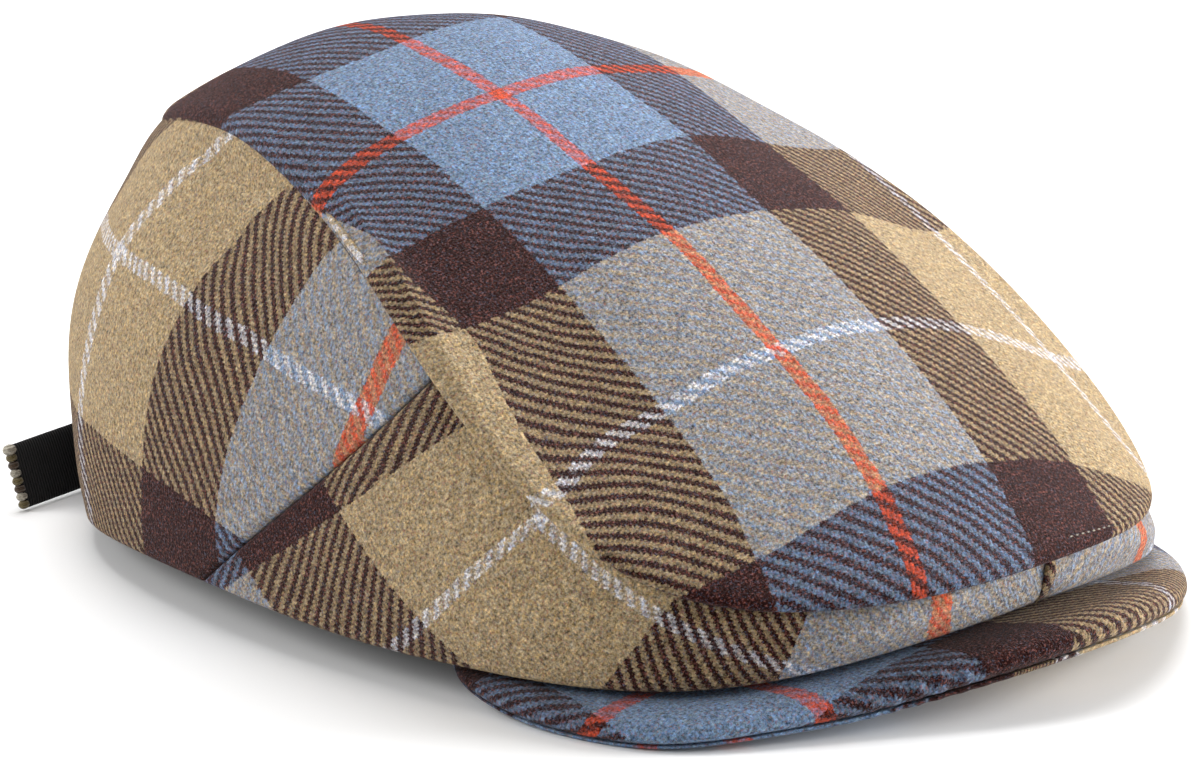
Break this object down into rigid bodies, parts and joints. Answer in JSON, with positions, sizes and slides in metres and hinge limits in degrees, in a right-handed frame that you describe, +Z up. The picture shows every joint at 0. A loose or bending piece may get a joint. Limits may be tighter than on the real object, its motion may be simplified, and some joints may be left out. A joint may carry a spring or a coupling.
{
  "type": "flat cap",
  "caption": "Wool flat cap in a wide check: a puffed top panel sewn over a low band, a short curved peak and a strap tail at the back.",
  "frame": {"origin": "on the floor under the middle of the head opening", "axes": "+Z up out of the crown, -Y towards the peak, -X towards the wearer's right"},
  "size_m": [0.1726, 0.2625, 0.1069],
  "materials": {
    "wool_crown": "brushed wool twill in a wide check",
    "wool_band": "brushed wool twill in a wide check",
    "wool_peak": "brushed wool twill in a wide check",
    "strap_webbing": "matte woven webbing"
  },
  "bodies": {
    "root": {"top_panel": "wool_crown", "side_panel_right": "wool_band", "side_panel_left": "wool_band", "back_panel": "wool_band", "peak_upper": "wool_peak", "peak_under": "wool_peak", "back_strap": "strap_webbing"}
  },
  "joints": []
}
